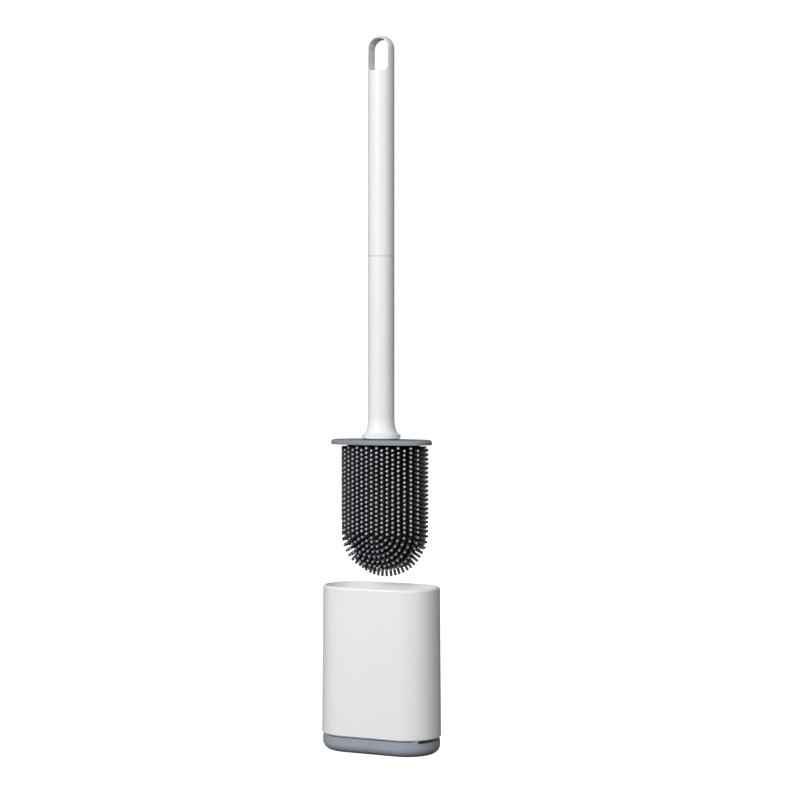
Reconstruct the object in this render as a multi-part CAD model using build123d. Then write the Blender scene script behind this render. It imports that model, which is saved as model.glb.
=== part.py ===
from build123d import *
import math
import os

# Toilet brush and its stand, in millimetres. +Z is up, X runs along the wide side and
# -Y is the front. The origin is the middle of the tray's underside. The brush is drawn
# lifted straight up, with its head just clear of the stand's mouth.

# ---------------------------------------------------------------- stand: shell and tray
SHELL_FOOT_WIDTH = 92.2
SHELL_FOOT_DEPTH = 50.2
SHELL_TOP_WIDTH = 90.6
SHELL_TOP_DEPTH = 48.6
SHELL_WALL = 2.6
SHELL_FOOT_Z = 12.2
SHELL_TOP_Z = 122.0
RIM_OUTER_ROUND = 1.8
RIM_INNER_ROUND = 0.6
FOOT_CHAMFER = 0.9

DRAIN_FLOOR_Z = 14.0
DRAIN_FLOOR_THICKNESS = 1.8
DRAIN_SLOT_WIDTH = 4.5
DRAIN_SLOT_LENGTH = 30.0
DRAIN_SLOT_PITCH = 9.0
DRAIN_SLOT_COUNT = 7

SHADOW_GAP = 0.7
TRAY_INSET = 0.7
TRAY_WALL = 4.0
TRAY_FLOOR = 2.4
TRAY_EDGE_ROUND = 6.5
TRAY_WELL_ROUND = 3.0
LIP_CLEARANCE = 0.3
LIP_GAP_BELOW_FLOOR = 0.1
VENT_SPAN = 35.0
VENT_HEIGHT = 2.1
REST_PAD_WIDTH = 1.6
REST_PAD_GAP = 0.02

# ---------------------------------------------------------------- brush head
SEATED_TIP_GAP = 0.2
BRUSH_RAISE = 112.2
HEAD_WIDTH = 69.2
HEAD_DEPTH = 37.6
HEAD_OFFSET = 2.6
HEAD_LENGTH = 98.2
HEAD_DOME = 32.7
DOME_SECTION_ANGLES = (0, 12, 24, 36, 47, 57, 66, 74, 80, 85)
SKIN_NOSE_BLUNTNESS = 0.1
TIPS_NOSE_BLUNTNESS = 0.52
BRISTLE_LENGTH = 6.5
BRISTLE_FREE_BAND = 1.8
SLEEVE_SKIN = 1.9
SLEEVE_CLEARANCE = 0.15

LID_WIDTH = 79.0
LID_DEPTH = 39.6
LID_END_RADIUS = 17.0
LID_THICKNESS = 3.6
LID_TOP_ROUND = 1.9
LID_BOTTOM_ROUND = 0.3
LID_SEAT_DIAMETER = 24.0
LID_SEAT_HEIGHT = 0.9

STEM_DIAMETER = 13.4
STEM_RISE = 24.0
STEM_CHAMFER = 0.5
FIT_CLEARANCE = 0.05

# ---------------------------------------------------------------- handle
HANDLE_DIAMETER = 19.5
HANDLE_BORE = 13.5
FOOT_RING_DIAMETER = 28.5
FOOT_RING_HEIGHT = 3.0
FOOT_RING_ROUND = 0.5
FLARE_DIAMETER = 27.8
FLARE_HEIGHT = 11.8
LOWER_LENGTH = 134.4
UPPER_LENGTH = 163.2

GASKET_THICKNESS = 0.6
GASKET_INNER_DIAMETER = 17.3
GASKET_OUTER_DIAMETER = 18.9

NECK_DIAMETER = 15.0
NECK_LENGTH = 15.5
NECK_BORE = 11.0
NECK_FLOOR = 2.6
NECK_TIP_ROUND = 0.8
NECK_CLEARANCE = 0.2
SOCKET_EXTRA_DEPTH = 1.0

THREAD_PITCH = 4.0
THREAD_TURNS = 1.5
THREAD_START = 2.0
THREAD_HEIGHT = 0.8
THREAD_ROOT_WIDTH = 2.0
THREAD_CREST_WIDTH = 0.9
THREAD_CLEARANCE = 0.2
THREAD_EMBED = 0.3
THREAD_RUN_OUT_TURNS = 0.25

HANG_SLOT_WIDTH = 14.8
HANG_SLOT_HEIGHT = 24.0
HANG_SLOT_CORNER = 3.0
HANG_SLOT_TURN = 5.5
BORE_END_BELOW_SLOT = 9.0

# ---------------------------------------------------------------- levels worked out
TRAY_SHOULDER_Z = SHELL_FOOT_Z - SHADOW_GAP
LIP_TOP_Z = DRAIN_FLOOR_Z - LIP_GAP_BELOW_FLOOR
DRAIN_FLOOR_TOP_Z = DRAIN_FLOOR_Z + DRAIN_FLOOR_THICKNESS
TIP_Z = DRAIN_FLOOR_TOP_Z + SEATED_TIP_GAP + BRUSH_RAISE
DOME_Z = TIP_Z + HEAD_DOME
LID_Z = TIP_Z + HEAD_LENGTH
LID_TOP_Z = LID_Z + LID_THICKNESS
HANDLE_FOOT_Z = LID_TOP_Z + LID_SEAT_HEIGHT
SHOULDER_Z = HANDLE_FOOT_Z + LOWER_LENGTH
UPPER_Z = SHOULDER_Z + GASKET_THICKNESS
TOP_Z = UPPER_Z + UPPER_LENGTH
HANDLE_RADIUS = HANDLE_DIAMETER / 2
DOMED_END_Z = TOP_Z - HANDLE_RADIUS


def racetrack(width, depth, z):
    """A flat face with straight long sides and half-round ends, at height z."""
    return Pos(0, 0, z) * SlotOverall(width, depth)


def racetrack_at(z, inset):
    """The shell's outline at height z, moved inwards all round by inset."""
    share = (z - SHELL_FOOT_Z) / (SHELL_TOP_Z - SHELL_FOOT_Z)
    width = SHELL_FOOT_WIDTH + share * (SHELL_TOP_WIDTH - SHELL_FOOT_WIDTH)
    depth = SHELL_FOOT_DEPTH + share * (SHELL_TOP_DEPTH - SHELL_FOOT_DEPTH)
    return racetrack(width - 2 * inset, depth - 2 * inset, z)


def tapered_column(low_z, high_z, inset):
    """The solid between two heights that follows the shell's slight taper."""
    return loft([racetrack_at(low_z, inset), racetrack_at(high_z, inset)])


def oval(width, depth, end_radius):
    """A face of four tangent arcs: two tight ends and two long shallow sides."""
    end_x = width / 2 - end_radius
    side_radius = (end_x**2 + depth**2 / 4 - end_radius**2) / (depth - 2 * end_radius)
    side_y = side_radius - depth / 2
    turn = math.degrees(math.atan2(side_y, end_x))
    right = CenterArc((end_x, 0), end_radius, -turn, 2 * turn)
    back = CenterArc((0, -side_y), side_radius, turn, 180 - 2 * turn)
    left = CenterArc((-end_x, 0), end_radius, 180 - turn, 2 * turn)
    front = CenterArc((0, side_y), side_radius, 180 + turn, 180 - 2 * turn)
    return make_face([right, back, left, front])


def bullet(half_width, half_depth, top_z, dome_z, tip_z, bluntness):
    """An upright oval column with a domed lower end, as one closed solid.

    From the front the dome is half an ellipse. From the side it thins evenly, like a
    wedge, to a nose that is rounder the larger the bluntness.
    """
    column = extrude(Pos(0, 0, dome_z) * Ellipse(half_width, half_depth), top_z - dome_z)
    sections = []
    for degrees in DOME_SECTION_ANGLES:
        z = dome_z - (dome_z - tip_z) * math.sin(math.radians(degrees))
        width_share = math.cos(math.radians(degrees))
        wedge = width_share**2
        depth_share = math.sqrt((wedge**2 + bluntness * wedge) / (1 + bluntness))
        section = Ellipse(half_width * width_share, half_depth * depth_share)
        sections.append(Pos(0, 0, z) * section)
    sections.append(Vertex(0, 0, tip_z))
    return column + loft(sections)


def tube(outer_diameter, inner_diameter, low_z, high_z):
    """A plain upright tube between two heights."""
    ring = Circle(outer_diameter / 2) - Circle(inner_diameter / 2)
    return extrude(Pos(0, 0, low_z) * ring, high_z - low_z)


def rod(diameter, low_z, high_z):
    """A plain upright rod between two heights."""
    return extrude(Pos(0, 0, low_z) * Circle(diameter / 2), high_z - low_z)


def thread(extra, start_z, turns):
    """A right-hand helical ridge round the neck, grown on every side by extra."""
    root = NECK_DIAMETER / 2 - THREAD_EMBED
    crest = NECK_DIAMETER / 2 + THREAD_HEIGHT + extra
    half_root = THREAD_ROOT_WIDTH / 2 + extra
    half_crest = THREAD_CREST_WIDTH / 2 + extra
    corners = [
        (root, -half_root),
        (crest, -half_crest),
        (crest, half_crest),
        (root, half_root),
    ]
    profile = make_face(Plane.XZ * Polyline(corners, close=True))
    path = Helix(THREAD_PITCH, THREAD_PITCH * turns, NECK_DIAMETER / 2)
    return Pos(0, 0, start_z) * sweep(profile, path=path, is_frenet=True)


def make_base_tray():
    """The drip tray: a shallow dish whose lip plugs into the shell, with end vents.

    The shell stands on four small pads, one at each corner of the two vents.
    """
    width = SHELL_FOOT_WIDTH - 2 * TRAY_INSET
    depth = SHELL_FOOT_DEPTH - 2 * TRAY_INSET
    body = extrude(racetrack(width, depth, 0), TRAY_SHOULDER_Z)
    body = fillet(body.edges().group_by(Axis.Z)[0], TRAY_EDGE_ROUND)

    lip_inset = SHELL_WALL + LIP_CLEARANCE
    lip_width = SHELL_FOOT_WIDTH - 2 * lip_inset
    lip_depth = SHELL_FOOT_DEPTH - 2 * lip_inset
    body += extrude(racetrack(lip_width, lip_depth, TRAY_FLOOR), LIP_TOP_Z - TRAY_FLOOR)

    well_face = racetrack(width - 2 * TRAY_WALL, depth - 2 * TRAY_WALL, TRAY_FLOOR)
    well = extrude(well_face, LIP_TOP_Z)
    well = fillet(well.edges().group_by(Axis.Z)[0], TRAY_WELL_ROUND)
    body -= well

    shoulder = racetrack(width, depth, TRAY_SHOULDER_Z)
    shoulder -= racetrack(lip_width, lip_depth, TRAY_SHOULDER_Z)
    rest_ring = extrude(shoulder, SHADOW_GAP - REST_PAD_GAP)
    pad_y = (VENT_SPAN + REST_PAD_WIDTH) / 2
    for side in (-1, 1):
        pad_slab = Box(SHELL_FOOT_WIDTH, REST_PAD_WIDTH, SHELL_FOOT_Z)
        body += rest_ring & Pos(0, side * pad_y, SHELL_FOOT_Z) * pad_slab

    vent_z = SHELL_FOOT_Z - VENT_HEIGHT
    vent_height = LIP_TOP_Z - vent_z
    for side in (-1, 1):
        vent = Box(SHELL_FOOT_DEPTH, VENT_SPAN, 2 * vent_height)
        body -= Pos(side * SHELL_FOOT_WIDTH / 2, 0, LIP_TOP_Z) * vent
    return body


def make_holder_shell():
    """The tall cup: tapered racetrack wall, round rim and a slotted drain floor."""
    wall = tapered_column(SHELL_FOOT_Z, SHELL_TOP_Z, 0)
    wall = fillet(wall.edges().group_by(Axis.Z)[-1], RIM_OUTER_ROUND)
    wall -= tapered_column(SHELL_FOOT_Z, SHELL_TOP_Z, SHELL_WALL)
    rim = wall.faces().sort_by(Axis.Z)[-1]
    wall = fillet(rim.inner_wires()[0].edges(), RIM_INNER_ROUND)
    foot = wall.faces().sort_by(Axis.Z)[0]
    wall = chamfer(foot.outer_wire().edges(), FOOT_CHAMFER)

    floor = tapered_column(DRAIN_FLOOR_Z, DRAIN_FLOOR_TOP_Z, SHELL_WALL / 2)
    first_x = -DRAIN_SLOT_PITCH * (DRAIN_SLOT_COUNT - 1) / 2
    for index in range(DRAIN_SLOT_COUNT):
        slot_x = first_x + index * DRAIN_SLOT_PITCH
        slot_face = Pos(slot_x, 0, DRAIN_FLOOR_Z) * Rot(0, 0, 90)
        slot_face *= SlotOverall(DRAIN_SLOT_LENGTH, DRAIN_SLOT_WIDTH)
        floor -= extrude(slot_face, DRAIN_FLOOR_THICKNESS)
    return wall + floor


def make_bristle_sleeve():
    """The soft moulded sleeve, filled out to the bristle tips as one closed body."""
    half_width = HEAD_WIDTH / 2
    half_depth = HEAD_DEPTH / 2
    tips = bullet(
        half_width,
        half_depth,
        LID_Z - BRISTLE_FREE_BAND,
        DOME_Z,
        TIP_Z,
        TIPS_NOSE_BLUNTNESS,
    )
    skin = bullet(
        half_width - BRISTLE_LENGTH,
        half_depth - BRISTLE_LENGTH,
        LID_Z,
        DOME_Z,
        TIP_Z + BRISTLE_LENGTH,
        SKIN_NOSE_BLUNTNESS,
    )
    inside = core_paddle(BRISTLE_LENGTH + SLEEVE_SKIN - SLEEVE_CLEARANCE)
    return Pos(HEAD_OFFSET, 0, 0) * (tips + skin - inside)


def core_paddle(inset):
    """The stiff paddle inside the sleeve, moved inwards from the tips by inset."""
    return bullet(
        HEAD_WIDTH / 2 - inset,
        HEAD_DEPTH / 2 - inset,
        LID_Z,
        DOME_Z,
        TIP_Z + inset,
        SKIN_NOSE_BLUNTNESS,
    )


def make_head_core():
    """The paddle with the round stem that goes up through the lid into the handle."""
    stem = rod(STEM_DIAMETER, LID_Z, HANDLE_FOOT_Z + STEM_RISE)
    stem = chamfer(stem.edges().group_by(Axis.Z)[-1], STEM_CHAMFER)
    paddle = core_paddle(BRISTLE_LENGTH + SLEEVE_SKIN)
    return Pos(HEAD_OFFSET, 0, 0) * paddle + stem


def make_splash_lid():
    """The oval lid that closes the stand's mouth, with a low seat for the handle's foot."""
    lid = extrude(Pos(0, 0, LID_Z) * oval(LID_WIDTH, LID_DEPTH, LID_END_RADIUS), LID_THICKNESS)
    lid = fillet(lid.edges().group_by(Axis.Z)[-1], LID_TOP_ROUND)
    lid = fillet(lid.edges().group_by(Axis.Z)[0], LID_BOTTOM_ROUND)
    lid += rod(LID_SEAT_DIAMETER, LID_TOP_Z, HANDLE_FOOT_Z)
    return lid - rod(STEM_DIAMETER + 2 * FIT_CLEARANCE, LID_Z, HANDLE_FOOT_Z)


def make_lower_handle():
    """The lower tube: foot ring, concave flare, shoulder, neck and male thread."""
    ring_top_z = HANDLE_FOOT_Z + FOOT_RING_HEIGHT
    ring = rod(FOOT_RING_DIAMETER, HANDLE_FOOT_Z, ring_top_z)
    ring = fillet(ring.edges().filter_by(GeomType.CIRCLE), FOOT_RING_ROUND)

    flare_top_z = ring_top_z + FLARE_HEIGHT
    flare_radius = FLARE_DIAMETER / 2
    curve = EllipticalCenterArc(
        (flare_radius, flare_top_z),
        flare_radius - HANDLE_RADIUS,
        FLARE_HEIGHT,
        start_angle=180,
        arc_size=90,
    )
    bottom = Line((flare_radius, ring_top_z), (0, ring_top_z))
    axis = Line((0, ring_top_z), (0, flare_top_z))
    top = Line((0, flare_top_z), (HANDLE_RADIUS, flare_top_z))
    flare = revolve(make_face(Plane.XZ * (curve + bottom + axis + top)), Axis.Z)

    neck_top_z = SHOULDER_Z + NECK_LENGTH
    shaft = rod(HANDLE_DIAMETER, flare_top_z, SHOULDER_Z)
    neck = rod(NECK_DIAMETER, SHOULDER_Z, neck_top_z)
    neck = fillet(neck.edges().group_by(Axis.Z)[-1], NECK_TIP_ROUND)
    ridge = thread(0, SHOULDER_Z + THREAD_START, THREAD_TURNS)

    body = ring + flare + shaft + neck + ridge
    bore_top_z = SHOULDER_Z - NECK_FLOOR
    body -= rod(HANDLE_BORE, HANDLE_FOOT_Z, bore_top_z)
    return body - rod(NECK_BORE, bore_top_z, neck_top_z)


def make_joint_gasket():
    """The thin flat ring that seals the screw joint between the two tubes."""
    return tube(GASKET_OUTER_DIAMETER, GASKET_INNER_DIAMETER, SHOULDER_Z, UPPER_Z)


def make_upper_handle():
    """The upper tube: female thread below, round end with a hanging slot through it.

    The slot's place round the tube is where the thread happens to come tight, so it
    faces a little to the right of the stand's front.
    """
    body = rod(HANDLE_DIAMETER, UPPER_Z, DOMED_END_Z)
    body += Pos(0, 0, DOMED_END_Z) * Sphere(HANDLE_RADIUS)

    slot_radius = HANG_SLOT_WIDTH / 2
    slot_z = DOMED_END_Z + slot_radius - HANG_SLOT_HEIGHT
    slot_height = DOMED_END_Z - slot_z
    hole = RectangleRounded(HANG_SLOT_WIDTH, 2 * slot_height, HANG_SLOT_CORNER)
    hole &= Pos(0, -slot_height / 2) * Rectangle(HANG_SLOT_WIDTH, slot_height)
    hole += Circle(slot_radius)
    front = Plane((0, 0, DOMED_END_Z), x_dir=(1, 0, 0), z_dir=(0, -1, 0))
    slot_solid = extrude(front * hole, HANDLE_DIAMETER, both=True)
    body -= Rot(0, 0, HANG_SLOT_TURN) * slot_solid

    socket_diameter = NECK_DIAMETER + 2 * NECK_CLEARANCE
    socket_top_z = SHOULDER_Z + NECK_LENGTH + SOCKET_EXTRA_DEPTH
    body -= rod(socket_diameter, UPPER_Z, socket_top_z)
    body -= rod(HANDLE_BORE, UPPER_Z, slot_z - BORE_END_BELOW_SLOT)

    groove_turns = 1 + THREAD_TURNS + THREAD_RUN_OUT_TURNS
    groove_z = SHOULDER_Z + THREAD_START - THREAD_PITCH
    return body - thread(THREAD_CLEARANCE, groove_z, groove_turns)


NODES = {
    "base_tray": make_base_tray,
    "holder_shell": make_holder_shell,
    "bristle_sleeve": make_bristle_sleeve,
    "head_core": make_head_core,
    "splash_lid": make_splash_lid,
    "lower_handle": make_lower_handle,
    "joint_gasket": make_joint_gasket,
    "upper_handle": make_upper_handle,
}

os.makedirs("parts", exist_ok=True)
for name, make in NODES.items():
    export_step(make(), f"parts/{name}.step")
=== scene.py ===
"""Looks for the toilet brush and its stand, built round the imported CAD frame.

The CAD nodes keep their shape and get moulded-plastic finishes. The soft sleeve is drawn
again here, with its skin and every moulded bristle. Lengths are in metres and angles in
degrees, unless a name says otherwise.
"""

import math
import random

import bpy
from mathutils import Matrix, Vector


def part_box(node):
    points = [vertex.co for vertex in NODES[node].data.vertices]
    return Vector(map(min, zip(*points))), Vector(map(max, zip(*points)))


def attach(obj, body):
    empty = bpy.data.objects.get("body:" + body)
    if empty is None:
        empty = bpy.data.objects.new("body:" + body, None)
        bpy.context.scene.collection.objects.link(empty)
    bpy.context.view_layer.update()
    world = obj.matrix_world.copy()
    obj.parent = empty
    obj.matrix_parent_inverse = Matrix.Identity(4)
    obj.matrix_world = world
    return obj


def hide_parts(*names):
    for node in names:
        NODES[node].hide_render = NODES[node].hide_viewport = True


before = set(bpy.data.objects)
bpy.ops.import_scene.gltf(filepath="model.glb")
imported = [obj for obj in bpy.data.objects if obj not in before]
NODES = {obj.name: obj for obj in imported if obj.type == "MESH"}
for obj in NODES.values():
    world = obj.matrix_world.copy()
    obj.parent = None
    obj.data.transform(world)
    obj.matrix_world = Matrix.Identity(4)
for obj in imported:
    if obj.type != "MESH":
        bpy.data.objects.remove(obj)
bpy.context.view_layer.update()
MM = 0.001

# ---------------------------------------------------------------- one bristle
BRISTLE_LENGTH = 6.5 * MM
BRISTLE_ROOT_RADIUS = 1.08 * MM
BRISTLE_TIP_RADIUS = 1.02 * MM
BRISTLE_SIDES = 10
# The root goes this far into the skin, with a small fillet where it leaves it.
ROOT_DEPTH = 0.5 * MM
ROOT_FILLET = 0.15 * MM
FILLET_BOTTOM = 0.1 * MM
FILLET_TOP = 0.4 * MM
MIDDLE_SHARE = 0.55
TIP_ROUND = 0.32 * MM
# The rounded tip: distance below its end in TIP_ROUNDs, and share of the tip's radius.
TIP_PROFILE = ((2.0, 1.0), (1.0, 0.97), (0.4, 0.86), (0.1, 0.62))
# Small random differences between bristles: lean, and share of the length lost.
LEAN_SPREAD = 0.6
LENGTH_SPREAD = 0.006
BRISTLE_SEED = 7

# ---------------------------------------------------------------- skin under the bristles
SKIN_THICKNESS = 1.75 * MM
SKIN_SIDES = 96
SKIN_DOME_RINGS = 18
# From the top of the dome to the lowest bristle tips.
DOME_HEIGHT = 32.7 * MM
# 0 would thin the dome to a sharp wedge towards its nose, seen from the narrow side.
NOSE_BLUNTNESS = 0.1
# Keeps the wedge from closing at the very nose.
LEAST_WEDGE = 0.001

# ---------------------------------------------------------------- columns on the wall
ROW_PITCH = 3.3 * MM
FIRST_ROW_DROP = 2.15 * MM
# Columns are numbered round the outline from the right-hand end, by way of the back.
COLUMN_COUNT = 35
COLUMN_PHASE = 0.75
OUTLINE_STEPS = 7200
# The count is odd, so two neighbours have the same stagger: this column and the next.
BACK_MIDDLE_COLUMN = 8

# ---------------------------------------------------------------- arcs round the dome
# An arc joins two columns whose numbers add up to this, counted round the outline.
PARTNER_SUM = 15
# An arc's reach is half its width, as a share of the skin's half width.
EDGE_ARC_REACH = 0.98
OUTER_ARC_REACH = 0.93
# The bristles' pitch on arcs that reach at least so far.
ARC_PITCHES = (
    (EDGE_ARC_REACH, 2.9 * MM),
    (OUTER_ARC_REACH, 3.45 * MM),
    (0.0, 3.9 * MM),
)
# An arc gets one more bristle when at least this share of a pitch is left over.
LEFT_OVER_SHARE = 0.7
ARC_DROP_POWER = 1.35
ARC_STEPS = 300
# The lean to the front or back grows this many times for each half of the dome's height.
SIDE_LEAN_GROWTH = 2.1
OUTER_SIDE_LEAN_GROWTH = 1.8
# How many times more than square to the skin the dome's bristles point down.
DOWN_LEAN = 1.43

# ---------------------------------------------------------------- what the rubber reads
# Share of the bristle's length, and how strong the painted highlight on its tip is.
TIP_ATTRIBUTE = "tip_share"
TIP_HIGHLIGHT_ATTRIBUTE = "painted_tip_highlight"
# Strength of the painted tip highlight on the wall and on the dome. The dome's is weaker, as
# painted shade, because its tips face down.
WALL_TIP_HIGHLIGHT = 1.0
DOME_TIP_HIGHLIGHT = 0.75

# ---------------------------------------------------------------- grain sizes
CLOUD_SIZE = 60 * MM
SPECKLE_SIZE = 0.9 * MM
SCUFF_SIZE = 5 * MM
PLASTIC_GRAIN_SIZE = 0.45 * MM
ORANGE_PEEL_SIZE = 4 * MM
RUBBER_MOTTLE_SIZE = 1.4 * MM
RUBBER_PATCH_SIZE = 18 * MM
RUBBER_GRAIN_SIZE = 0.3 * MM
# Blender's Mix node has its two colours and its mixed colour at these places.
MIX_COLOUR_INPUTS = (6, 7)
MIX_COLOUR_OUTPUT = 2

# ---------------------------------------------------------------- studio and camera
WHITE = (1.0, 1.0, 1.0, 1.0)
FLOOR_GREY = (0.5, 0.5, 0.5, 1.0)
FLOOR_DROP = 0.2 * MM
FLOOR_RADIUS = 300.0
FLOOR_SIDES = 64
LIGHT_TARGET = (0.0, 0.0, 0.25)
# The sky lights the object from above only, fully where its direction rises this much.
SKY_FULL_RISE = 0.35
SKY_COLOUR = (0.97, 0.985, 1.0, 1.0)
SKY_STRENGTH = 0.20
BACKDROP_STRENGTH = 1.05

CAMERA_AZIMUTH = 25.4
CAMERA_DISTANCE = 1.54
CAMERA_HEIGHT = 0.28895
CAMERA_LENS_MM = 93.555
CAMERA_SENSOR_MM = 36.0
CAMERA_SHIFT_X = 0.0234
CAMERA_SHIFT_Y = -0.05
CAMERA_CLIP_END = 1000.0


def add_object(name, data):
    """An object for that mesh, light or camera, linked to the scene."""
    thing = bpy.data.objects.new(name, data)
    bpy.context.scene.collection.objects.link(thing)
    return thing


def map_range(tree, value, source, target):
    """Maps a socket's value from one range to another, held inside the second."""
    node = tree.nodes.new("ShaderNodeMapRange")
    node.inputs["From Min"].default_value = source[0]
    node.inputs["From Max"].default_value = source[1]
    node.inputs["To Min"].default_value = target[0]
    node.inputs["To Max"].default_value = target[1]
    tree.links.new(value, node.inputs["Value"])
    return node.outputs["Result"]


# ---------------------------------------------------------------- materials
class Finish:
    """A Principled material whose colour, roughness and grain come from noise."""

    def __init__(self, name):
        self.material = bpy.data.materials.new(name)
        self.material.use_nodes = True
        self.tree = self.material.node_tree
        self.shader = self.tree.nodes["Principled BSDF"]
        self.place = self.tree.nodes.new("ShaderNodeTexCoord").outputs["Object"]

    def link(self, source, target):
        self.tree.links.new(source, target)

    def attribute(self, name):
        """The number that each vertex holds under that name."""
        node = self.tree.nodes.new("ShaderNodeAttribute")
        node.attribute_name = name
        return node.outputs["Fac"]

    def noise(self, size, detail=2.0, stretch=(1.0, 1.0, 1.0), distortion=0.0):
        """A noise pattern whose features are about size across."""
        mapping = self.tree.nodes.new("ShaderNodeMapping")
        mapping.inputs["Scale"].default_value = stretch
        self.link(self.place, mapping.inputs["Vector"])
        node = self.tree.nodes.new("ShaderNodeTexNoise")
        node.inputs["Scale"].default_value = 1.0 / size
        node.inputs["Detail"].default_value = detail
        node.inputs["Distortion"].default_value = distortion
        self.link(mapping.outputs["Vector"], node.inputs["Vector"])
        return node.outputs["Fac"]

    def spread(self, value, source, target=(0.0, 1.0)):
        """Maps a value from one range to another, held inside the second."""
        return map_range(self.tree, value, source, target)

    def combine(self, operation, first, second):
        """One arithmetic step between two sockets."""
        node = self.tree.nodes.new("ShaderNodeMath")
        node.operation = operation
        self.link(first, node.inputs[0])
        self.link(second, node.inputs[1])
        return node.outputs["Value"]

    def blend(self, share, first, second):
        """A colour between first and second, each a colour or a socket."""
        node = self.tree.nodes.new("ShaderNodeMix")
        node.data_type = "RGBA"
        self.link(share, node.inputs["Factor"])
        for number, colour in zip(MIX_COLOUR_INPUTS, (first, second)):
            if isinstance(colour, tuple):
                node.inputs[number].default_value = (*colour, 1.0)
            else:
                self.link(colour, node.inputs[number])
        return node.outputs[MIX_COLOUR_OUTPUT]

    def bump(self, height, depth, strength, under=None):
        """Grain of that depth, on top of another bump if one is given."""
        node = self.tree.nodes.new("ShaderNodeBump")
        node.inputs["Distance"].default_value = depth
        node.inputs["Strength"].default_value = strength
        self.link(height, node.inputs["Height"])
        if under is not None:
            self.link(under, node.inputs["Normal"])
        return node.outputs["Normal"]

    def finished(self, colour, roughness, normal, specular):
        """The material, with its shader's inputs set."""
        self.link(colour, self.shader.inputs["Base Color"])
        self.link(roughness, self.shader.inputs["Roughness"])
        self.link(normal, self.shader.inputs["Normal"])
        self.shader.inputs["Specular IOR Level"].default_value = specular
        return self.material


def moulded_plastic(name, pale, deep, scuffed, roughness, specular):
    """Satin polypropylene: cloudy tint, spark-eroded grain and faint handling scuffs."""
    finish = Finish(name)
    cloud = finish.noise(CLOUD_SIZE, detail=3.0, stretch=(1.0, 1.0, 0.45))
    speckle = finish.noise(SPECKLE_SIZE, detail=2.0)
    tint = finish.blend(finish.spread(cloud, (0.35, 0.65)), pale, deep)
    speckle_share = finish.spread(speckle, (0.42, 0.62), (0.0, 0.35))
    tint = finish.blend(speckle_share, tint, deep)

    streak = finish.noise(SCUFF_SIZE, detail=4.0, stretch=(1.0, 1.0, 9.0), distortion=0.6)
    scuff = finish.spread(streak, (0.66, 0.76), (0.0, 0.5))
    tint = finish.blend(scuff, tint, scuffed)

    satin = finish.spread(cloud, (0.3, 0.7), roughness)
    satin = finish.combine("ADD", satin, finish.spread(scuff, (0.0, 0.5), (0.0, 0.08)))

    grain = finish.noise(PLASTIC_GRAIN_SIZE, detail=3.0)
    orange_peel = finish.noise(ORANGE_PEEL_SIZE, detail=1.0)
    normal = finish.bump(orange_peel, depth=0.06 * MM, strength=0.12)
    normal = finish.bump(grain, depth=0.025 * MM, strength=0.3, under=normal)
    return finish.finished(tint, satin, normal, specular)


def soft_rubber(name, painted_root_shade, side, tip, specular):
    """Charcoal thermoplastic rubber, with painted shade towards the roots and a painted
    highlight on the tips.
    """
    finish = Finish(name)
    share = finish.attribute(TIP_ATTRIBUTE)
    mottle = finish.noise(RUBBER_MOTTLE_SIZE, detail=3.0)
    patch = finish.noise(RUBBER_PATCH_SIZE, detail=2.0)

    # Painted shade: the shaft darkens to near black towards its root, where the bristles
    # shade each other.
    shaft = finish.blend(finish.spread(share, (0.0, 0.45)), painted_root_shade, side)
    # Painted highlight: the last few hundredths of each bristle's length turn pale, as light
    # catching the tips, broken up by noise.
    tip_highlight = finish.spread(share, (0.955, 0.985))
    tip_highlight = finish.combine("MULTIPLY", tip_highlight, finish.attribute(TIP_HIGHLIGHT_ATTRIBUTE))
    tip_highlight = finish.combine("MULTIPLY", tip_highlight, finish.spread(patch, (0.3, 0.7), (0.78, 1.0)))
    tip_highlight = finish.combine("MULTIPLY", tip_highlight, finish.spread(mottle, (0.3, 0.7), (0.82, 1.0)))
    colour = finish.blend(tip_highlight, shaft, tip)

    matt = finish.spread(mottle, (0.3, 0.7), (0.5, 0.66))
    grain = finish.noise(RUBBER_GRAIN_SIZE, detail=2.0)
    normal = finish.bump(grain, depth=0.02 * MM, strength=0.35)
    return finish.finished(colour, matt, normal, specular)


WHITE_PLASTIC = moulded_plastic(
    "white_plastic",
    pale=(0.890, 0.894, 0.902),
    deep=(0.850, 0.856, 0.866),
    scuffed=(0.800, 0.805, 0.812),
    roughness=(0.36, 0.44),
    specular=0.45,
)
TRAY_PLASTIC = moulded_plastic(
    "tray_plastic",
    pale=(0.368, 0.413, 0.473),
    deep=(0.324, 0.366, 0.423),
    scuffed=(0.430, 0.468, 0.516),
    roughness=(0.40, 0.50),
    specular=0.4,
)
LID_PLASTIC = moulded_plastic(
    "lid_plastic",
    pale=(0.266, 0.296, 0.334),
    deep=(0.228, 0.256, 0.293),
    scuffed=(0.326, 0.356, 0.393),
    roughness=(0.42, 0.52),
    specular=0.4,
)
CORE_PLASTIC = moulded_plastic(
    "core_plastic",
    pale=(0.250, 0.280, 0.320),
    deep=(0.215, 0.244, 0.282),
    scuffed=(0.320, 0.350, 0.390),
    roughness=(0.40, 0.50),
    specular=0.4,
)
# The gasket's rubber is plain and pale, and the same recipe does for it, duller.
GASKET_RUBBER = moulded_plastic(
    "gasket_rubber",
    pale=(0.620, 0.625, 0.635),
    deep=(0.560, 0.565, 0.575),
    scuffed=(0.680, 0.685, 0.695),
    roughness=(0.55, 0.68),
    specular=0.3,
)
BRISTLE_RUBBER = soft_rubber(
    "bristle_rubber",
    # Painted shade at the bristles' roots.
    painted_root_shade=(0.004, 0.004, 0.006),
    side=(0.072, 0.079, 0.092),
    # Painted highlight: the pale colour at the bristles' tips.
    tip=(0.610, 0.635, 0.670),
    specular=0.25,
)

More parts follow.
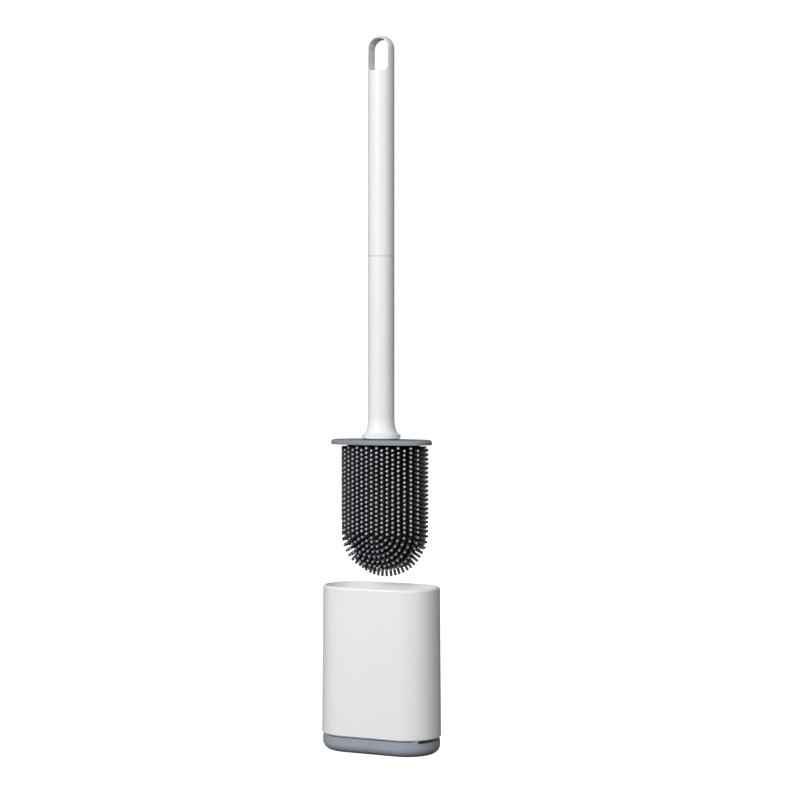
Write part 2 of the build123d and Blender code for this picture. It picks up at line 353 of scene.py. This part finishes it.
CAD_FINISHES = {
    "base_tray": TRAY_PLASTIC,
    "holder_shell": WHITE_PLASTIC,
    "head_core": CORE_PLASTIC,
    "splash_lid": LID_PLASTIC,
    "lower_handle": WHITE_PLASTIC,
    "joint_gasket": GASKET_RUBBER,
    "upper_handle": WHITE_PLASTIC,
}
for node_name, finish_material in CAD_FINISHES.items():
    node_mesh = NODES[node_name].data
    node_mesh.materials.clear()
    node_mesh.materials.append(finish_material)


# ---------------------------------------------------------------- bristle sleeve
class Sleeve:
    """Collects the sleeve's vertices and faces, and what the rubber reads at each vertex."""

    def __init__(self):
        low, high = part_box("bristle_sleeve")
        self.centre_x = (low.x + high.x) / 2
        self.half_width = (high.x - low.x) / 2 - BRISTLE_LENGTH
        self.half_depth = (high.y - low.y) / 2 - BRISTLE_LENGTH
        self.top_z = high.z
        self.dome_z = low.z + DOME_HEIGHT
        self.dome_height = DOME_HEIGHT - BRISTLE_LENGTH
        self.points = []
        self.faces = []
        self.shares = []
        self.tip_highlights = []
        self.tip_highlight = WALL_TIP_HIGHLIGHT

    def add_point(self, point, share):
        self.points.append(point)
        self.shares.append(share)
        self.tip_highlights.append(self.tip_highlight)
        return len(self.points) - 1

    def join_rings(self, first, second):
        """Faces between two rings of point numbers of the same length."""
        count = len(first)
        for index in range(count):
            after = (index + 1) % count
            self.faces.append((first[index], first[after], second[after], second[index]))

    def close_ring(self, ring, point):
        """Faces from a ring to one point."""
        count = len(ring)
        for index in range(count):
            self.faces.append((ring[index], ring[(index + 1) % count], point))

    def depth_share(self, wedge):
        """Share of the full depth where the dome has wedge = 1 - (drop / height)^2 left."""
        return math.sqrt((wedge**2 + NOSE_BLUNTNESS * wedge) / (1 + NOSE_BLUNTNESS))

    def skin_ring(self, inset, z, width_share):
        """A ring round the skin, moved inwards by inset."""
        depth_share = self.depth_share(width_share**2)
        ring = []
        for index in range(SKIN_SIDES):
            angle = 2 * math.pi * index / SKIN_SIDES
            x = (self.half_width - inset) * width_share * math.cos(angle)
            y = (self.half_depth - inset) * depth_share * math.sin(angle)
            ring.append(self.add_point((self.centre_x + x, y, z), 0.0))
        return ring

    def skin_side(self, inset):
        """One side of the skin, wall and dome: its rings, top ring first, and its pole."""
        rings = [self.skin_ring(inset, self.top_z, 1.0)]
        for index in range(SKIN_DOME_RINGS):
            angle = math.pi / 2 * index / SKIN_DOME_RINGS
            z = self.dome_z - (self.dome_height - inset) * math.sin(angle)
            rings.append(self.skin_ring(inset, z, math.cos(angle)))
        pole_z = self.dome_z - (self.dome_height - inset)
        pole = self.add_point((self.centre_x, 0.0, pole_z), 0.0)
        return rings, pole

    def add_skin(self):
        """The closed thin skin that the bristles stand on."""
        outer, outer_pole = self.skin_side(0.0)
        inner, inner_pole = self.skin_side(SKIN_THICKNESS)
        for above, below in zip(outer, outer[1:]):
            self.join_rings(below, above)
        self.close_ring(list(reversed(outer[-1])), outer_pole)
        for above, below in zip(inner, inner[1:]):
            self.join_rings(above, below)
        self.close_ring(inner[-1], inner_pole)
        self.join_rings(outer[0], inner[0])

    def add_bristle(self, root, direction, rng):
        """One round-tipped bristle that stands on the skin at root."""
        spread = math.radians(LEAN_SPREAD)
        turn = Vector(direction).normalized().to_track_quat("Z", "Y").to_matrix()
        turn = turn @ Matrix.Rotation(rng.gauss(0.0, spread), 3, "X")
        turn = turn @ Matrix.Rotation(rng.gauss(0.0, spread), 3, "Y")
        length = BRISTLE_LENGTH * (1.0 - abs(rng.gauss(0.0, LENGTH_SPREAD)))
        # How far along the bristle, and its radius there.
        profile = [
            (-ROOT_DEPTH, BRISTLE_ROOT_RADIUS + ROOT_FILLET),
            (FILLET_BOTTOM, BRISTLE_ROOT_RADIUS + ROOT_FILLET),
            (FILLET_TOP, BRISTLE_ROOT_RADIUS),
            (MIDDLE_SHARE * length, (BRISTLE_ROOT_RADIUS + BRISTLE_TIP_RADIUS) / 2),
        ]
        for below, radius_share in TIP_PROFILE:
            profile.append((length - below * TIP_ROUND, radius_share * BRISTLE_TIP_RADIUS))
        rings = []
        for along, radius in profile:
            ring = []
            for index in range(BRISTLE_SIDES):
                angle = 2 * math.pi * index / BRISTLE_SIDES
                local = Vector((radius * math.cos(angle), radius * math.sin(angle), along))
                ring.append(self.add_point(root + turn @ local, max(0.0, along / length)))
            rings.append(ring)
        for below, above in zip(rings, rings[1:]):
            self.join_rings(below, above)
        end = self.add_point(root + turn @ Vector((0.0, 0.0, length)), 1.0)
        self.close_ring(rings[-1], end)
        self.faces.append(tuple(reversed(rings[0])))

    def column_places(self):
        """(x, y) on the skin of each column, evenly spaced round its outline."""
        outline = []
        for index in range(OUTLINE_STEPS + 1):
            angle = 2 * math.pi * index / OUTLINE_STEPS
            place = (self.half_width * math.cos(angle), self.half_depth * math.sin(angle))
            outline.append(Vector((*place, 0.0)))
        travelled = [0.0]
        for first, second in zip(outline, outline[1:]):
            travelled.append(travelled[-1] + (second - first).length)
        places = []
        step = 0
        for column in range(COLUMN_COUNT):
            wanted = (column + COLUMN_PHASE) / COLUMN_COUNT * travelled[-1]
            while travelled[step] < wanted:
                step += 1
            places.append((outline[step].x, outline[step].y))
        return places

    def add_bristles(self):
        """Staggered columns on the wall that carry on as arcs round the dome."""
        rng = random.Random(BRISTLE_SEED)
        places = self.column_places()
        last_heights = [
            self.add_column(column, place, rng) for column, place in enumerate(places)
        ]
        # Painted shade: the dome's downward tips get a weaker painted highlight.
        self.tip_highlight = DOME_TIP_HIGHLIGHT
        for column, start in enumerate(places):
            partner = (PARTNER_SUM - column) % COLUMN_COUNT
            end = places[partner]
            if start[0] > end[0]:
                self.add_arc(start, end, last_heights[column], last_heights[partner], rng)

    def add_column(self, column, place, rng):
        """One column down the wall; returns its last bristle's height above the dome."""
        x, y = place
        beat = column if column <= BACK_MIDDLE_COLUMN else column + 1
        stagger = ROW_PITCH / 2 * ((beat + 1) % 2)
        outward = (x / self.half_width**2, y / self.half_depth**2, 0.0)
        z = self.top_z - FIRST_ROW_DROP - stagger
        while z > self.dome_z:
            self.add_bristle(Vector((self.centre_x + x, y, z)), outward, rng)
            z -= ROW_PITCH
        return z + ROW_PITCH - self.dome_z

    def dome_place(self, x, z, side, growth):
        """A point on the dome's front (side -1) or back (+1) and its bristle's direction.

        x is measured from the head's middle and z from the top of the dome. The bristle
        points down more than square to the skin, and its lean to the front or back grows
        towards the nose.
        """
        wedge = max(1.0 - (z / self.dome_height) ** 2, LEAST_WEDGE)
        across = min(1.0, x**2 / (self.half_width**2 * wedge))
        depth = self.half_depth * self.depth_share(wedge) * math.sqrt(1.0 - across)
        blunt = wedge + NOSE_BLUNTNESS
        down = across + (1.0 - across) * (wedge + blunt) / blunt
        sideways = growth ** (2.0 * abs(z) / self.dome_height)
        outward = Vector((
            x / self.half_width**2,
            side * depth * sideways * (1 + NOSE_BLUNTNESS) / (self.half_depth**2 * blunt),
            DOWN_LEAN * down * z / self.dome_height**2,
        ))
        return Vector((self.centre_x + x, side * depth, self.dome_z + z)), outward

    def edge_place(self, x, y, z):
        """A point near the skin's outermost line and the direction straight out from it."""
        outward = Vector((
            x / self.half_width**2,
            y / self.half_depth**2,
            z / self.dome_height**2,
        ))
        return Vector((self.centre_x + x, y, self.dome_z + z)), outward

    def arc_places(self, start, end, reach_share):
        """Points and directions close together along an arc from start to end."""
        middle = (start[0] + end[0]) / 2
        reach = (start[0] - end[0]) / 2
        drop = self.dome_height * reach_share**ARC_DROP_POWER
        side = math.copysign(1.0, start[1] + end[1])
        outer = reach_share >= OUTER_ARC_REACH
        growth = OUTER_SIDE_LEAN_GROWTH if outer else SIDE_LEAN_GROWTH
        places = []
        for step in range(ARC_STEPS + 1):
            angle = math.pi * step / ARC_STEPS
            x = middle + reach * math.cos(angle)
            z = -drop * math.sin(angle)
            if reach_share >= EDGE_ARC_REACH:
                y = start[1] + (end[1] - start[1]) * step / ARC_STEPS
                places.append(self.edge_place(x, y * math.cos(angle) ** 2, z))
            else:
                places.append(self.dome_place(x, z, side, growth))
        return places

    def add_arc(self, start, end, start_height, end_height, rng):
        """The arc under the dome from a column on the right to its partner on the left.

        The heights are those of the columns' last bristles above the top of the dome.
        """
        reach_share = (start[0] - end[0]) / 2 / self.half_width
        places = self.arc_places(start, end, reach_share)
        travelled = [start_height]
        for (first, _), (second, _) in zip(places, places[1:]):
            travelled.append(travelled[-1] + (second - first).length)

        pitch = next(pitch for share, pitch in ARC_PITCHES if reach_share >= share)
        whole = travelled[-1] + end_height
        count = max(1, int(whole / pitch - LEFT_OVER_SHARE))
        step = 0
        for index in range(count):
            wanted = (index + 1) / (count + 1) * whole
            while step < ARC_STEPS and travelled[step] < wanted:
                step += 1
            self.add_bristle(*places[step], rng)

    def build(self, name):
        """The finished mesh as an object, with the rubber on it."""
        mesh = bpy.data.meshes.new(name)
        mesh.from_pydata([tuple(point) for point in self.points], [], self.faces)
        mesh.shade_smooth()
        for attribute_name, values in (
            (TIP_ATTRIBUTE, self.shares),
            (TIP_HIGHLIGHT_ATTRIBUTE, self.tip_highlights),
        ):
            attribute = mesh.attributes.new(attribute_name, "FLOAT", "POINT")
            attribute.data.foreach_set("value", values)
        mesh.materials.append(BRISTLE_RUBBER)
        return add_object(name, mesh)


sleeve = Sleeve()
sleeve.add_skin()
sleeve.add_bristles()
bristles = sleeve.build("soft_bristles")
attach(bristles, "brush")
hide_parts("bristle_sleeve")


# ---------------------------------------------------------------- floor and world
def make_floor():
    """A wide white disc that glows softly, just under the tray."""
    corners = []
    for index in range(FLOOR_SIDES):
        angle = 2 * math.pi * index / FLOOR_SIDES
        x = FLOOR_RADIUS * math.cos(angle)
        y = FLOOR_RADIUS * math.sin(angle)
        corners.append((x, y, -FLOOR_DROP))
    mesh = bpy.data.meshes.new("studio_floor")
    mesh.from_pydata(corners, [], [tuple(range(FLOOR_SIDES))])

    material = bpy.data.materials.new("studio_floor")
    material.use_nodes = True
    shader = material.node_tree.nodes["Principled BSDF"]
    shader.inputs["Base Color"].default_value = FLOOR_GREY
    shader.inputs["Roughness"].default_value = 1.0
    shader.inputs["Specular IOR Level"].default_value = 0.0
    shader.inputs["Emission Color"].default_value = WHITE
    shader.inputs["Emission Strength"].default_value = 1.0
    mesh.materials.append(material)

    disc = add_object("studio_floor", mesh)
    disc.visible_diffuse = False
    disc.visible_glossy = False
    return disc


def make_world():
    """A soft sky that is brightest overhead, in front of a plain white backdrop."""
    world = bpy.data.worlds.new("studio")
    bpy.context.scene.world = world
    world.use_nodes = True
    tree = world.node_tree
    direction = tree.nodes.new("ShaderNodeTexCoord")
    split = tree.nodes.new("ShaderNodeSeparateXYZ")
    tree.links.new(direction.outputs["Generated"], split.inputs["Vector"])
    strength = map_range(tree, split.outputs["Z"], (0.0, SKY_FULL_RISE), (0.0, SKY_STRENGTH))

    sky = tree.nodes["Background"]
    sky.inputs["Color"].default_value = SKY_COLOUR
    tree.links.new(strength, sky.inputs["Strength"])
    backdrop = tree.nodes.new("ShaderNodeBackground")
    backdrop.inputs["Color"].default_value = WHITE
    backdrop.inputs["Strength"].default_value = BACKDROP_STRENGTH

    rays = tree.nodes.new("ShaderNodeLightPath")
    choice = tree.nodes.new("ShaderNodeMixShader")
    tree.links.new(rays.outputs["Is Camera Ray"], choice.inputs["Fac"])
    tree.links.new(sky.outputs["Background"], choice.inputs[1])
    tree.links.new(backdrop.outputs["Background"], choice.inputs[2])
    tree.links.new(choice.outputs["Shader"], tree.nodes["World Output"].inputs["Surface"])


# ---------------------------------------------------------------- lights and camera
def place_round(azimuth, distance, height):
    """A place round the object; azimuth turns from the front (-Y) towards the right (+X)."""
    turn = math.radians(azimuth)
    return (distance * math.sin(turn), -distance * math.cos(turn), height)


def look_at(thing, place, target):
    """Puts a light or camera at place, facing target."""
    thing.location = place
    facing = Vector(target) - Vector(place)
    thing.rotation_euler = facing.to_track_quat("-Z", "Y").to_euler()


def soft_light(name, place, size, power, colour, glossy=True):
    """A rectangular soft box that the camera doesn't see; power is in watts."""
    light = bpy.data.lights.new(name, "AREA")
    light.shape = "RECTANGLE"
    light.size, light.size_y = size
    light.energy = power
    light.color = colour
    lamp = add_object(name, light)
    look_at(lamp, place, LIGHT_TARGET)
    lamp.visible_camera = False
    lamp.visible_glossy = glossy


def make_camera():
    """A level camera in front of the object and to its right."""
    data = bpy.data.cameras.new("camera")
    data.lens = CAMERA_LENS_MM
    data.sensor_width = CAMERA_SENSOR_MM
    data.shift_x = CAMERA_SHIFT_X
    data.shift_y = CAMERA_SHIFT_Y
    data.clip_end = CAMERA_CLIP_END
    camera = add_object("camera", data)
    place = place_round(CAMERA_AZIMUTH, CAMERA_DISTANCE, CAMERA_HEIGHT)
    look_at(camera, place, (0.0, 0.0, CAMERA_HEIGHT))
    bpy.context.scene.camera = camera


floor = make_floor()
make_world()
soft_light(
    "key",
    place_round(-9, 2.4, 1.28),
    size=(1.6, 1.1),
    power=56,
    colour=(1.0, 0.995, 0.985),
)
soft_light(
    "right_front",
    place_round(52, 2.4, 0.9),
    size=(1.1, 1.1),
    power=20,
    colour=(1.0, 0.985, 0.97),
)
soft_light(
    "left_side",
    place_round(-74, 1.9, 0.5),
    size=(0.7, 1.5),
    power=6,
    colour=(0.97, 0.985, 1.0),
)
soft_light(
    "back_fill",
    place_round(205, 2.2, 0.4),
    size=(1.4, 1.4),
    power=22,
    colour=(1.0, 1.0, 1.0),
    glossy=False,
)
make_camera()
bpy.context.scene.view_settings.view_transform = "Standard"
